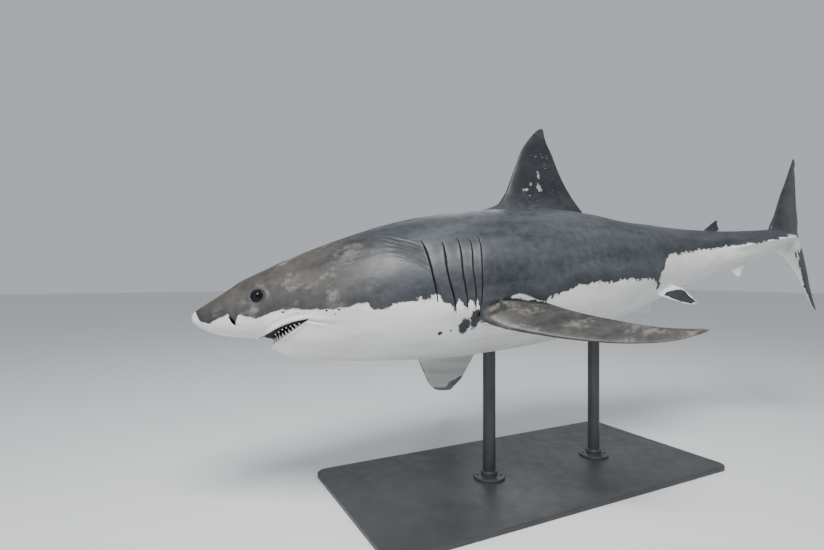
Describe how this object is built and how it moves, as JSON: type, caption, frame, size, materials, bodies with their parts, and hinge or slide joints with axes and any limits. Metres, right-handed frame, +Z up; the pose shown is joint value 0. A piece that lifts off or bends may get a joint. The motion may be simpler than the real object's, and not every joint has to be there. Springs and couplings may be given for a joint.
{
  "type": "great white shark model",
  "caption": "Life-size great white shark, swimming with its tail swept aside and its mouth a little open, held over a flat base by upright rods.",
  "frame": {"origin": "centre of the underside of the stand's base, on the floor", "axes": "+Z up; the shark's trunk runs along X with its snout towards -X and its left side towards -Y"},
  "size_m": [3.7635, 1.7425, 1.7782],
  "materials": {
    "slate_skin": "satin painted skin, slate grey above and white below",
    "dark_fin_skin": "satin painted skin, darker grey",
    "belly_skin": "satin painted skin, white",
    "eye": "gloss black",
    "stand_paint": "satin black paint"
  },
  "bodies": {
    "root": {"head": "slate_skin", "neck": "slate_skin", "trunk_front": "slate_skin", "trunk_rear": "slate_skin", "tail_stem": "slate_skin", "first_dorsal_fin": "dark_fin_skin", "second_dorsal_fin": "dark_fin_skin", "pectoral_fin_left": "dark_fin_skin", "pectoral_fin_right": "dark_fin_skin", "tail_fin_upper": "dark_fin_skin", "tail_fin_lower": "dark_fin_skin", "lower_jaw": "belly_skin", "anal_fin": "belly_skin", "pelvic_fin_left": "belly_skin", "pelvic_fin_right": "belly_skin", "eye_left": "eye", "eye_right": "eye", "stand_base": "stand_paint", "stand_rod_front": "stand_paint", "stand_rod_rear": "stand_paint"}
  },
  "joints": []
}
